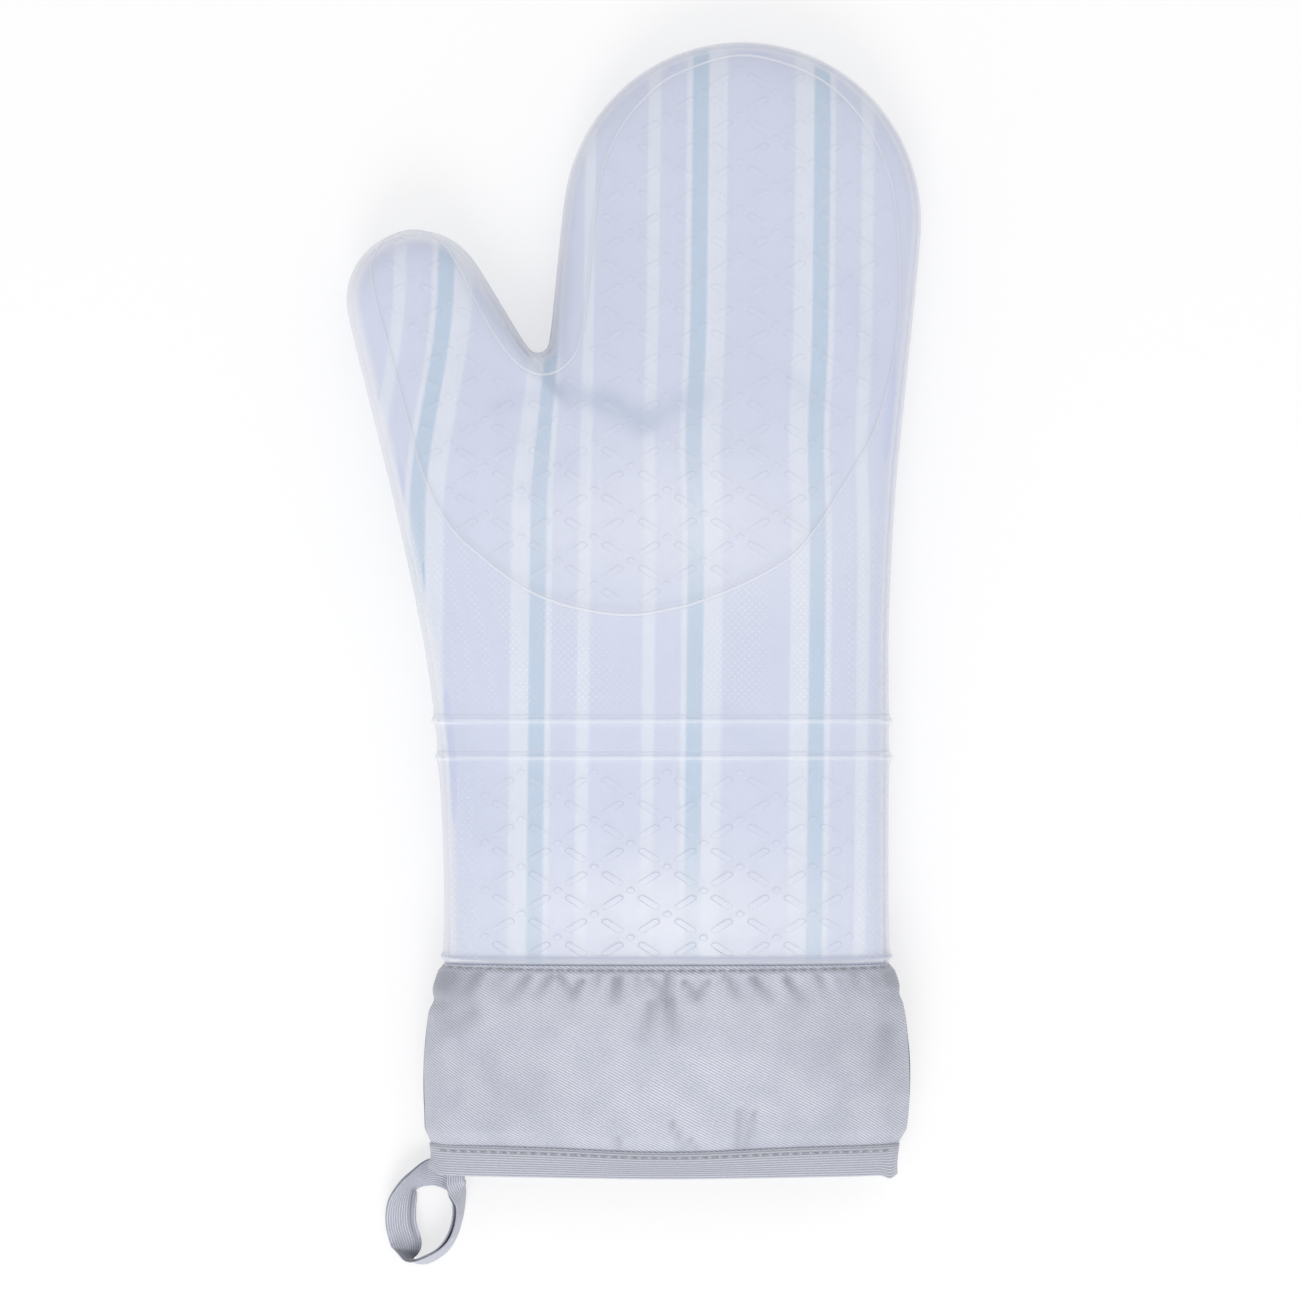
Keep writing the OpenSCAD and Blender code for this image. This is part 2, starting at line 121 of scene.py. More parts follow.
class MittSizes(PropertyGroup):
    lattice_x: size("Lattice step across", "Half the width of one grip diamond", 11.88)
    lattice_y: size("Lattice step along", "Half the length of one grip diamond", 7.67)
    relief: size("Relief", "How far the grip lattice stands off the silicone", 0.5)
    bar_length: size("Bar length", "Length of a lattice bar", 7.6)
    bar_width: size("Bar width", "Width of a lattice bar", 2.3)
    knot_x: size("Knot width", "Width of the diamond where two rows of bars cross", 3.9)
    knot_y: size("Knot length", "Length of the diamond where two rows of bars cross", 2.8)
    outline: size("Outline", "Width of the rounded edge of a bar or a knot", 0.45)
    ridge: size("Ridge", "Width of the raised ridge round the grip panel", 1.4)
    stipple: size("Stipple", "Spacing of the fine dots beside the grip panels", 1.6)
    stripe_repeat: size("Stripe repeat", "Width of one repeat of the liner's stripes", 91.4)
    twill_rib: size("Twill rib", "Spacing of the diagonal ribs of the cuff's twill", 0.82)
    tape_rib: size("Tape rib", "Spacing of the ribs of the binding and the loop tape", 0.8)
    puff: size("Puff", "How far the twill bellies out between its folds", 1.2)
    sag: size("Sag", "How far the hem's middle hangs below its ends", 1.8)
    stitch: size("Stitch", "Spacing of the stitches", 3.3)
    thread: size("Thread", "Thickness of the sewing thread", 0.5)
    tape_width: size("Tape width", "Width of the hanging tape", 9.6)
    root_width: size("Gathered width", "Width of the hanging tape in the hem's corner", 5.8)
    tape_thickness: size("Tape thickness", "Thickness of the folded hanging tape", 1.2)


class MittColours(PropertyGroup):
    silicone: colour("Silicone", "Milky translucent silicone", "#D6D9E4")
    # lighter silicone where it is seen on edge: partly the milky edge of thick silicone, partly painted
    # light that offsets the shade on the glove's sloping sides
    margin: colour("Silicone margin", "The same where it is seen on edge", "#EEEFF3")
    # painted highlight colour: the crests of the rings, the bead and the ridge, and the stipple's dots
    crest: colour("Silicone crest", "Crests of the raised rings, the bead and the ridge", "#F0F2F6")
    # painted shade colour: the edges of the relief, the upper edges of the rings and the bead, and the
    # bead where the cuff meets it
    edge: colour("Silicone edge", "Shaded edges of the raised silicone", "#A2A8C2")
    ground: colour("Liner ground", "Ground colour of the striped liner", "#BDC6E5")
    white: colour("Liner white", "White stripes of the liner", "#DAE2F1")
    teal: colour("Liner teal", "Pale teal stripes of the liner", "#88B3D2")
    wadding: colour("Wadding", "Heat padding", "#E9E8E4")
    lining: colour("Lining", "Inner lining that the hand touches", "#E4E5EA")
    twill: colour("Twill", "Ribs of the cuff's twill", "#E0E2EC")
    twill_dark: colour("Twill valleys", "Valleys between the ribs of the twill", "#9DA1B1")
    thread: colour("Thread", "Sewing thread", "#A5A3AB")
    floor: colour("Floor", "Floor and backdrop", "#FAFAFB")


def chosen(context):
    """The sizes and the colours that the scene holds."""
    return context.scene.mitt_sizes, context.scene.mitt_colours


# ---- Small helpers for selecting, copying and finishing ----

def only(piece):
    """Selects one piece alone and makes it active."""
    bpy.ops.object.select_all(action="DESELECT")
    piece.select_set(True)
    bpy.context.view_layer.objects.active = piece


def new_piece(name, data):
    piece = bpy.data.objects.new(name, data)
    bpy.context.scene.collection.objects.link(piece)
    return piece


def copy_of(node, name, levels, crease=0.0, cell=0.0):
    """A piece with a CAD node's shape, in quads and rounded. A crease keeps its edges across
    the mitt crisp, and a cell size cuts large faces up into cells of that size."""
    piece = new_piece(name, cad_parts[node].data.copy())
    piece.data.materials.clear()
    only(piece)
    bpy.ops.object.mode_set(mode="EDIT")
    bpy.ops.mesh.select_all(action="SELECT")
    bpy.ops.mesh.remove_doubles(threshold=0.00001)
    bpy.ops.mesh.tris_convert_to_quads(face_threshold=math.radians(60), shape_threshold=math.radians(75))
    mesh = bmesh.from_edit_mesh(piece.data)
    if cell:
        for axis in range(2):
            for k in range(-40, 41):
                at, across = Vector(), Vector()
                at[axis], across[axis] = (k + 0.5) * cell, 1
                bmesh.ops.bisect_plane(mesh, geom=mesh.verts[:] + mesh.edges[:] + mesh.faces[:],
                                       dist=0.3 * MM, plane_co=at, plane_no=across)
    if crease:
        layer = mesh.edges.layers.float.new("crease_edge")
        for edge in mesh.edges:
            a, b = (v.co for v in edge.verts)
            if abs(a.y - b.y) < 0.2 * MM and (a - b).length > 1.5 * MM:
                edge[layer] = crease
    bmesh.update_edit_mesh(piece.data)
    bpy.ops.object.mode_set(mode="OBJECT")
    rounding = piece.modifiers.new("Rounding", "SUBSURF")
    rounding.levels = levels
    bpy.ops.object.modifier_apply(modifier=rounding.name)
    bpy.ops.object.shade_smooth()
    return piece


def rows_of(items, key, width):
    """A row of numbers from each item of a mesh's list."""
    flat = np.zeros(len(items) * width, np.float32)
    items.foreach_get(key, flat)
    return flat.reshape(-1, width).astype(float)


def points_of(piece):
    return rows_of(piece.data.vertices, "co", 3)


def set_points(piece, points):
    piece.data.vertices.foreach_set("co", points.astype(np.float32).ravel())
    piece.data.update()


def paint(piece, name, values):
    """Stores one number per vertex, for the piece's material to read."""
    layer = piece.data.attributes.get(name) or piece.data.attributes.new(name, "FLOAT", "POINT")
    layer.data.foreach_set("value", np.asarray(values, np.float32))


def give_uv(piece, uv):
    """Stores one pair of numbers per vertex as the piece's UV map."""
    layer = piece.data.uv_layers.new(name="cloth")
    corners = np.zeros(len(piece.data.loops), np.int32)
    piece.data.loops.foreach_get("vertex_index", corners)
    layer.data.foreach_set("uv", uv[corners].astype(np.float32).ravel())


def dress(piece, material, body, slot, *nodes):
    """Gives a finished piece its material and its body, and hides the nodes it stands for; its slot is
    not used.
    """
    piece.data.materials.append(material)
    if body:
        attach(piece, body)
    if nodes:
        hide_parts(*nodes)


def skin_of(piece):
    """A function that finds the piece's surface and its normal at a point of the plan, from
    above (side 1) or from below (side -1)."""
    tree = BVHTree.FromObject(piece, bpy.context.evaluated_depsgraph_get())
    return lambda x, y, side: tree.ray_cast(Vector((x, y, side)), Vector((0, 0, -side)))[:2]


def join(pieces, name):
    only(pieces[0])
    for piece in pieces:
        piece.select_set(True)
    bpy.ops.object.join()
    pieces[0].name = name
    return pieces[0]


def swept(name, rings, closed):
    """A closed solid through rings of points: a hoop, or a strip with its two ends shut."""
    mesh = bmesh.new()
    made = [[mesh.verts.new(co) for co in ring] for ring in rings]
    pairs = zip(made, made[1:] + made[:1]) if closed else zip(made, made[1:])
    for first, second in pairs:
        for k in range(len(first)):
            mesh.faces.new((first[k], first[k - 1], second[k - 1], second[k]))
    if not closed:
        mesh.faces.new(made[0])
        mesh.faces.new(made[-1][::-1])
    bmesh.ops.recalc_face_normals(mesh, faces=mesh.faces)
    data = bpy.data.meshes.new(name)
    mesh.to_mesh(data)
    mesh.free()
    piece = new_piece(name, data)
    only(piece)
    return piece


def smooth(t):
    """A soft step: 0 up to 0, and 1 from 1 on."""
    t = np.clip(t, 0, 1)
    return t * t * (3 - 2 * t)


def hill(value, at, width):
    """1 where a value is at its place, fading out softly to both sides."""
    return np.exp(-((value - at) / width) ** 2)


def blob(x, y, at, radii):
    """A soft round patch: 1 in its middle, fading out over its two radii."""
    return np.exp(-((x - at[0]) / radii[0]) ** 2 - ((y - at[1]) / radii[1]) ** 2)


def spline(a, b, c, d, t):
    """A place on the smooth curve through four rows of numbers, t of the way from b to c."""
    return 0.5 * (2 * b + (c - a) * t + (2 * a - 5 * b + 4 * c - d) * t * t
                  + (3 * b - a - 3 * c + d) * t ** 3)


# ---- Materials ----

def feed(tree, node, key, value):
    """Sets a node's input to a value, a colour, another node's output or a node's first one."""
    if isinstance(value, bpy.types.Node):
        value = value.outputs[0]
    if isinstance(value, bpy.types.NodeSocket):
        tree.links.new(value, node.inputs[key])
    elif node.inputs[key].type == "RGBA":
        node.inputs[key].default_value = (*value, 1)
    else:
        node.inputs[key].default_value = value


def start_material(name, **inputs):
    """A new material, its nodes, and its shader with the given inputs set."""
    material = bpy.data.materials.new(name)
    material.use_nodes = True
    tree = material.node_tree
    shader = tree.nodes["Principled BSDF"]
    for key, value in inputs.items():
        feed(tree, shader, key.replace("_", " "), value)
    return material, tree, shader


def add(tree, kind, **settings):
    """Adds a node; a setting is an attribute, or an input by its name or as i and its number."""
    node = tree.nodes.new("ShaderNode" + kind)
    for key, value in settings.items():
        if hasattr(node, key):
            setattr(node, key, value)
        elif key[0] == "i" and key[1:].isdigit():
            feed(tree, node, int(key[1:]), value)
        else:
            feed(tree, node, key.replace("_", " "), value)
    return node


def painted(tree, name):
    """The numbers that a piece was painted with."""
    return add(tree, "Attribute", attribute_name=name).outputs["Fac"]


def mixed(tree, share, first, second):
    """One colour over another by a share."""
    node = add(tree, "Mix", data_type="RGBA", i0=share, i6=first, i7=second)
    return node.outputs[2]


def scaled(tree, value, factor, rest=0.0):
    """A number times a factor, plus the rest."""
    return add(tree, "Math", operation="MULTIPLY_ADD", i0=value, i1=factor, i2=rest)


def ranged(tree, value, low, high, start=0.0, end=1.0):
    """A number's place between two limits, drawn out from start to end."""
    return add(tree, "MapRange", i0=value, i1=low, i2=high, i3=start, i4=end)


def noise(tree, vector, scale, detail, distortion=0.0):
    return add(tree, "TexNoise", Vector=vector, Scale=scale, Detail=detail, Distortion=distortion)


def raised(tree, shader, height, strength, distance):
    """Bends the shader's normal by a height that runs from 0 to 1."""
    bump = add(tree, "Bump", Strength=strength, Distance=distance, Height=height)
    feed(tree, shader, "Normal", bump)


def object_place(tree):
    return add(tree, "TexCoord").outputs["Object"]


def cloth_place(tree):
    """Millimetres along the cloth, from the piece's UV map."""
    return add(tree, "UVMap", uv_map="cloth")


def bands(tree, fac, stops, blur):
    """A colour ramp of flat bands with slightly soft edges: (start, colour) from 0 to 1."""
    ramp = add(tree, "ValToRGB", Fac=fac)
    marks = ramp.color_ramp.elements
    last = None
    for start, rgb in stops:
        rgba = (*rgb, 1)[:4]
        if last is None:
            marks[0].position, marks[0].color = 0, rgba
            marks.remove(marks[1])
        else:
            marks.new(max(0, start - blur)).color = last
            marks.new(min(1, start + blur)).color = rgba
        last = rgba
    return ramp


def moulded_silicone(sizes, colours):
    """Silicone rubber, injection moulded and unpigmented: milky, so that the liner shows
    through, denser along its rings and round its edges, with a satin gloss and a fine stipple
    from the mould beside the grip panels. Its rings and bead carry painted highlights and
    painted shade, its edges are lighter, partly as the milky edge of thick silicone and partly
    as painted light, and the stipple's dots are painted highlights."""
    material, tree, shader = start_material("silicone_moulded_translucent", Roughness=0.34,
                                            IOR=1.41, Specular_IOR_Level=0.45)
    spot = object_place(tree)
    along = add(tree, "SeparateXYZ", Vector=spot).outputs["Y"]
    reach = 100
    up = ranged(tree, along, GLOVE_LOW.y, GLOVE_LOW.y + reach * MM)
    # the bead and the rings carry a painted highlight and, above it, painted shade along their
    # upper edge; the bead is also painted in deep shade below, where the cuff meets it: (height in
    # millimetres, colour and how much it hides)
    none, light, shade = (*colours.crest, 0), (*colours.crest, 0.3), (*colours.edge, 0.5)
    # painted shade where the bead meets the cuff
    contact_shade = (*colours.edge, 0.85)
    stops = [(0, contact_shade), (8.2, light), (9.3, shade), (10.7, none)]
    for ring in RINGS:
        stops += [(ring - 0.8, light), (ring + 0.5, none), (ring + 1.6, shade), (ring + 2.2, none)]
    marks = bands(tree, up, [(at / reach, rgba) for at, rgba in stops], 0.0012)
    # the margin: lighter where the skin is seen on edge, partly the milky edge of thick silicone, partly
    # painted light on the sloping sides
    margin = painted(tree, "margin")
    tone = mixed(tree, margin, colours.silicone, colours.margin)
    tone = mixed(tree, marks.outputs["Alpha"], tone, marks)
    # the stipple: rows of dots that lean both ways, painted lighter in the highlight colour as small
    # painted highlights
    turn = add(tree, "Mapping", Vector=spot, Rotation=(0, 0, math.radians(45)))
    dots = add(tree, "TexVoronoi", Scale=1 / sizes.stipple, Randomness=0.0, Vector=turn)
    dot = scaled(tree, ranged(tree, dots, 0.15, 0.42, 1.0, 0.0), painted(tree, "stipple"))
    feed(tree, shader, "Base Color", mixed(tree, scaled(tree, dot, 0.24), tone, colours.crest))
    dense = scaled(tree, margin, 0.42, 0.36)
    dense = scaled(tree, marks.outputs["Alpha"], 0.42, dense)
    feed(tree, shader, "Alpha", scaled(tree, dot, 0.04, dense))
    raised(tree, shader, scaled(tree, noise(tree, spot, 260.0, 3.0), 0.16, dot), 0.4, 0.25 * MM)
    return material


def moulded_relief(colours):
    """The same silicone where it stands proud as lattice and ridge: clear on top, with painted
    shade along its rounded edges, where they bend the light away, and a painted highlight on
    the ridge's crest."""
    material, tree, shader = start_material("silicone_moulded_relief", Roughness=0.3, IOR=1.41)
    rim, crest = painted(tree, "rim"), painted(tree, "crest")
    tone = mixed(tree, scaled(tree, rim, 2.5), colours.silicone, colours.edge)
    feed(tree, shader, "Base Color", mixed(tree, crest, tone, colours.crest))
    feed(tree, shader, "Alpha", scaled(tree, crest, 0.55, scaled(tree, rim, 0.8, 0.05)))
    return material


def striped_percale(sizes, colours):
    """Cotton percale, yarn-dyed in stripes: flat and matt. Its threads, 0.2 mm apart, are drawn
    at 0.7 mm so that they show. It is painted lighter in two soft pools of light, low on the
    hand and on the palm, and painted in shade along the folds where it sinks away from the
    silicone."""
    material, tree, shader = start_material("liner_percale_striped", Roughness=0.85, Sheen_Weight=0.15)
    cloth = cloth_place(tree)
    across = add(tree, "SeparateXYZ", Vector=cloth).outputs["X"]
    # the stripes mirror every half repeat; each starts so many millimetres from its middle
    half = sizes.stripe_repeat / 2 / MM
    fold = add(tree, "Math", operation="PINGPONG", i0=across, i1=half)
    ground, white, teal = colours.ground, colours.white, colours.teal
    stops = [(0, ground), (8.6, white), (12.7, ground), (21.2, white), (23.1, teal),
             (28.4, white), (34.6, ground)]
    ramp = bands(tree, scaled(tree, fold, 1 / half), [(at / half, rgb) for at, rgb in stops], 0.4 / half)
    # painted light in two soft patches, and painted shade along the liner's folds
    tone = mixed(tree, painted(tree, "lift"), ramp, (0.93, 0.95, 1.0))
    tone = mixed(tree, painted(tree, "crease"), tone, (0.19, 0.32, 0.52))
    cloud = ranged(tree, noise(tree, cloth, 0.035, 2.0), 0.35, 0.7, 0.0, 0.12)
    feed(tree, shader, "Base Color", mixed(tree, cloud, tone, [0.6 * c for c in colours.ground]))
    weave = add(tree, "TexWave", bands_direction="Y", Scale=0.45, Distortion=0.4, Vector=cloth)
    raised(tree, shader, weave.outputs["Fac"], 0.25, 0.2 * MM)
    return material


def fibre_cloth(name, rgb, scale, depth):
    """Loose polyester fibre, needled or brushed: matt and slightly uneven."""
    material, tree, shader = start_material(name, Roughness=0.95, Sheen_Weight=0.3)
    fibres = noise(tree, object_place(tree), scale, 5.0, 1.5)
    feed(tree, shader, "Base Color", mixed(tree, fibres, [0.86 * c for c in rgb], rgb))
    raised(tree, shader, fibres, 0.6, depth)
    return material


def ribs(tree, vector, spacing, waver):
    """Parallel ribs across the vector's Y, in millimetres."""
    # a wave texture's scale of 1 gives a band every 2 pi / 20 units
    node = add(tree, "TexWave", bands_direction="Y", Scale=0.314 / (spacing / MM),
               Distortion=waver, Detail=2.0, Detail_Scale=0.6, Vector=vector)
    return node.outputs["Fac"]


def grey_twill(sizes, colours):
    """Polyester-cotton twill, 2/1 weave, piece-dyed grey: fine diagonal ribs, a little under a
    millimetre apart, that run down to the right, with the slight sheen of its floating yarns."""
    material, tree, shader = start_material("cuff_twill_grey", Roughness=0.72, Sheen_Weight=0.25)
    cloth = cloth_place(tree)
    turn = add(tree, "Mapping", Vector=cloth, Rotation=(0, 0, math.radians(27)))
    rib = ribs(tree, turn, sizes.twill_rib, 0.5)
    slub = noise(tree, turn, 0.9, 3.0)
    # worn cloth shows its ribs more in some places than in others
    worn = ranged(tree, noise(tree, cloth, 0.08, 1.0), 0.35, 0.65, 0.52, 0.78)
    share = scaled(tree, slub, 0.34, scaled(tree, rib, worn))
    tone = mixed(tree, share, colours.twill_dark, colours.twill)
    wash = ranged(tree, noise(tree, cloth, 0.045, 1.0), 0.3, 0.7, 0.0, 0.07)
    tone = mixed(tree, wash, tone, colours.twill_dark)
    # painted shade in the cuff's folds, gathers and seam groove, and in broad soft patches
    depth = scaled(tree, painted(tree, "shade"), 0.6)
    feed(tree, shader, "Base Color", mixed(tree, depth, tone, [0.45 * c for c in colours.twill_dark]))
    raised(tree, shader, rib, 0.7, 0.22 * MM)
    return material


def ribbed_tape(name, sizes, colours, tone):
    """Twill tape, narrow woven: its ribs run along the tape, a little under a millimetre
    apart, and catch the light more than the cuff does."""
    material, tree, shader = start_material(name, Roughness=0.7, Sheen_Weight=0.25)
    cloth = cloth_place(tree)
    rib = ribs(tree, cloth, sizes.tape_rib, 0.25)
    share = scaled(tree, noise(tree, cloth, 1.4, 3.0), 0.4, scaled(tree, rib, 0.6))
    # tone scales the tape's colours; a tone above 1 is painted light that offsets shade
    tone = mixed(tree, share, [0.82 * tone * c for c in colours.twill_dark],
                 [0.92 * tone * c for c in colours.twill])
    depth = scaled(tree, painted(tree, "shade"), 0.8)
    feed(tree, shader, "Base Color", mixed(tree, depth, tone, [0.3 * c for c in colours.twill_dark]))
    raised(tree, shader, rib, 0.8, 0.25 * MM)
    return material


def spun_thread(colours):
    """Spun polyester thread: matt, with a fine twist."""
    material, tree, shader = start_material("thread_spun_polyester", Roughness=0.8)
    twist = add(tree, "TexWave", bands_direction="DIAGONAL", Scale=300.0, Vector=object_place(tree))
    feed(tree, shader, "Base Color",
         mixed(tree, twist.outputs["Fac"], [0.7 * c for c in colours.thread], colours.thread))
    return material


# ---- The glove: skin, ridge and grip lattice ----

def curve_through(points, steps):
    """A smooth closed line through the points, as an array of plan positions in metres."""
    rows = np.array(points[-1:] + points + points[:2], float)
    line = [spline(*rows[i:i + 4], k / steps) for i in range(len(points)) for k in range(steps)]
    return np.array([place(*p) for p in line])


def distance_inside(points, outline):
    """How far inside a closed outline each plan point lies; less than 0 is outside it."""
    nearest = np.full(len(points), 1e9)
    crossings = np.zeros(len(points), int)
    for a, b in zip(outline, np.roll(outline, -1, axis=0)):
        way = b - a
        t = np.clip(((points - a) @ way) / (way @ way), 0, 1)
        nearest = np.minimum(nearest, np.linalg.norm(points - a - t[:, None] * way, axis=1))
        rises = (a[1] > points[:, 1]) != (b[1] > points[:, 1])
        if b[1] != a[1]:
            at = a[0] + (points[:, 1] - a[1]) / (b[1] - a[1]) * way[0]
            crossings += rises & (points[:, 0] < at)
    return np.where(crossings % 2 == 1, nearest, -nearest)


def pick(piece, kind, wanted):
    """Selects the edges or the faces of a piece that is being edited."""
    bpy.ops.mesh.select_mode(type=kind)
    bpy.ops.mesh.select_all(action="DESELECT")
    mesh = bmesh.from_edit_mesh(piece.data)
    for part in mesh.edges if kind == "EDGE" else mesh.faces:
        part.select = wanted(part)
    bmesh.update_edit_mesh(piece.data)


def relief_template(name, a, b, sizes, rounding):
    """A low raised shape over four corners of the plan, a and b and the two opposite: its
    corners are rounded by so many outlines, and its flat top is set in from the edge. It is
    painted "rim" 1 along the edge of the top, less on its lower side, and 0 elsewhere: this is
    painted shade, weaker on the lower side, which faces the light."""
    height, sunk = sizes.relief, 0.35 * MM
    bpy.ops.mesh.primitive_cube_add(size=2, location=(0, 0, 0))
    piece = bpy.context.object
    piece.name = name
    corners = {(1, 1): a, (-1, 1): b, (-1, -1): -a, (1, -1): -b}
    for v in piece.data.vertices:
        corner = corners[round(v.co.x), round(v.co.y)]
        v.co = (*corner, height if v.co.z > 0 else -sunk)
    bpy.ops.object.mode_set(mode="EDIT")
    pick(piece, "EDGE", lambda e: abs(e.verts[0].co.z - e.verts[1].co.z) > height / 2)
    bpy.ops.mesh.bevel(offset=rounding * sizes.outline, segments=3, affect="EDGES")
    pick(piece, "FACE", lambda f: f.normal.z > 0.9)
    bpy.ops.mesh.inset(thickness=sizes.outline)
    bpy.ops.object.mode_set(mode="OBJECT")
    bpy.ops.object.shade_smooth_by_angle(angle=math.radians(40))
    points = points_of(piece)
    top = np.abs(points[:, 2] - height) < 1e-6
    reach = np.abs(points[:, 1]).max()
    inner = [f for f in piece.data.polygons if f.normal.z > 0.9 and len(f.vertices) > 4]
    middle = np.zeros(len(points), bool)
    middle[[i for f in inner for i in f.vertices]] = True
    # painted shade along the top's edge: strongest on the upper side, away from the light, weakest on
    # the lower side
    upper = 0.7 + 0.3 * np.clip(points[:, 1] / reach * 1.6, -1, 1)
    paint(piece, "rim", np.where(top & ~middle, upper, 0.0))
    return piece


def lay_on(template, spot, drop, side, share):
    """A copy of a low relief shape, bent on to the glove's skin at a spot of the plan, or
    nothing where the skin turns away too steeply."""
    copy = new_piece(template.name, template.data.copy())
    for v in copy.data.vertices:
        base, normal = drop(spot[0] + v.co.x, spot[1] + v.co.y, side)
        if base is None or abs(normal.z) < 0.35:
            bpy.data.objects.remove(copy)
            return None
        rise = v.co.z * (0.4 + 0.6 * share) if v.co.z > 0 else v.co.z
        v.co = base + normal * rise
        if side < 0:
            v.co.z = max(v.co.z, PRESSED)
    # the painted edge shade grows with the share, as the relief does
    paint(copy, "rim", rows_of(copy.data.attributes["rim"].data, "value", 1)[:, 0] * share)
    return copy


def grip_spots(sizes, outline):
    """Where the lattice's pieces lie: (plan position, 0 for a knot or the sign of a bar's
    slope, strength). The moulding is deepest low on the hand's middle."""
    step = np.array([sizes.lattice_x, sizes.lattice_y])
    found = []
    for i in range(-8, 12):
        for j in range(-3, 42):
            if (i + j) % 2 == 0:
                knot = np.array(place(*KNOT)) + step * (i, j)
                found += [(knot, 0), (knot + step / 2, 1), (knot + step * (0.5, -0.5), -1)]
    at = np.array([f[0] for f in found])
    depth = distance_inside(at, outline) / MM
    x, up = (at[:, 0] - CUFF_X) / MM, (at[:, 1] - GLOVE_LOW.y) / MM
    in_band = (up > 12.5) & (up < RINGS[0] - 3) & (np.abs(x) < 62)
    share = np.where(depth > 3.5, 0.34 + 0.16 * blob(x, up, (-5, 150), (55, 26)), 0.0)
    band_share = 0.34 + 0.66 * blob(x, up, (-3, 16), (46, 36))
    share = np.where(in_band, band_share, share)
    return [(p, slope, s) for (p, slope), s in zip(found, share) if s > 0.1]


class MITT_OT_glove(Operator):
    """Builds the translucent silicone glove with its panel ridge and its grip lattice"""
    bl_idname = "mitt.glove"
    bl_label = "Silicone glove"

    def execute(self, context):
        sizes, colours = chosen(context)
        silicone = moulded_silicone(sizes, colours)
        relief = moulded_relief(colours)
        glove = copy_of("silicone_glove", "glove", 2)
        points = points_of(glove)
        outline = curve_through(PANEL, 6)
        depth = distance_inside(points[:, :2], outline) / MM
        across, up = (points[:, 0] - CUFF_X) / MM, (points[:, 1] - GLOVE_LOW.y) / MM
        above = smooth((up - RINGS[1] - 3) / 2) * smooth(-depth / 2) * smooth((165 - up) / 30)
        beside = smooth((np.abs(across) - 58) / 6) * smooth((RINGS[0] - 3 - up) / 2)
        paint(glove, "stipple", np.maximum(above, beside))
        facing = np.abs(rows_of(glove.data.vertex_normals, "vector", 3)[:, 2])
        thumb = smooth((-across - 50) / 20)
        paint(glove, "margin", smooth((0.72 + 0.14 * thumb - facing) / 0.45))
        dress(glove, silicone, "mitt", "silicone", "silicone_glove")
        glove.visible_shadow = glove.visible_diffuse = False
        drop = skin_of(glove)

        # a bar's ends are cut along the rows that cross its own
        step = Vector((sizes.lattice_x, sizes.lattice_y)).normalized()
        half = sizes.bar_length / 2
        wide = sizes.bar_width / 4 / (step.x * step.y)
        shapes = {}
        for slope in (1, -1):
            way = Vector((step.x, slope * step.y)) * half
            over = Vector((-step.x, slope * step.y)) * wide * slope
            shapes[slope] = relief_template("bar", way + over, over - way, sizes, 2.5)
        shapes[0] = relief_template("knot", Vector((sizes.knot_x / 2, 0)),
                                    Vector((0, sizes.knot_y / 2)), sizes, 1.9)
        spots = grip_spots(sizes, outline)
        for side, name in ((1, "front"), (-1, "back")):
            copies = [lay_on(shapes[slope], spot, drop, side, share) for spot, slope, share in spots]
            lattice = join([copy for copy in copies if copy], "grip_lattice_" + name)
            paint(lattice, "crest", np.zeros(len(lattice.data.vertices)))
            dress(lattice, relief, "mitt", "silicone")
            lattice.visible_diffuse = False
            self.ridge(sizes, outline, drop, side, name, relief)
        for shape in shapes.values():
            bpy.data.objects.remove(shape)
        return {"FINISHED"}

    def ridge(self, sizes, outline, drop, side, name, material):
        """Sweeps a low round ridge along the panel's outline, on the glove's skin."""
        half = sizes.ridge / 2
        profile = [(math.cos(a) * half, math.sin(a) * half * 0.8 - 0.15 * MM)
                   for a in [2 * math.pi * k / 12 for k in range(12)]]
        rings, crest = [], []
        count = len(outline)
        for i in range(count):
            way = outline[(i + 1) % count] - outline[i - 1]
            way = way / np.linalg.norm(way)
            out = Vector((way[1], -way[0], 0))
            base, normal = drop(*outline[i], side)
            flat = (out - normal * out.dot(normal)).normalized()
            ring = [base + flat * a + normal * b for a, b in profile]
            for co in ring:
                co.z = max(co.z, PRESSED)
            rings.append(ring)
            # painted highlight along the ridge's top, brighter where it runs across the mitt and catches
            # more light; the rest of the ridge gets a little painted edge shade
            bright = 0.3 + 0.45 * abs(way[0])
            crest += [bright if b > 0.45 * half else 0.0 for a, b in profile]
        piece = swept("panel_ridge_" + name, rings, True)
        bpy.ops.object.shade_smooth()
        paint(piece, "crest", crest)
        paint(piece, "rim", [0.0 if c else 0.2 for c in crest])
        dress(piece, material, "mitt", "silicone")
        piece.visible_diffuse = False


# ---- The liner ----

def stripe_shift(x, y):
    """How far the stripes lean off the long axis, in millimetres: a little on the hand, and
    well across where the liner turns into the thumb. x and y are from the mitt's middle."""
    hand = 0.01126 * (y - 48.5) - 1.2 * hill(y, 70, 22) * smooth((x + 5) / 20)
    thumb = 8.5 * smooth((y - 45) / 75) * smooth((-10 - x) / 35)
    return hand + thumb


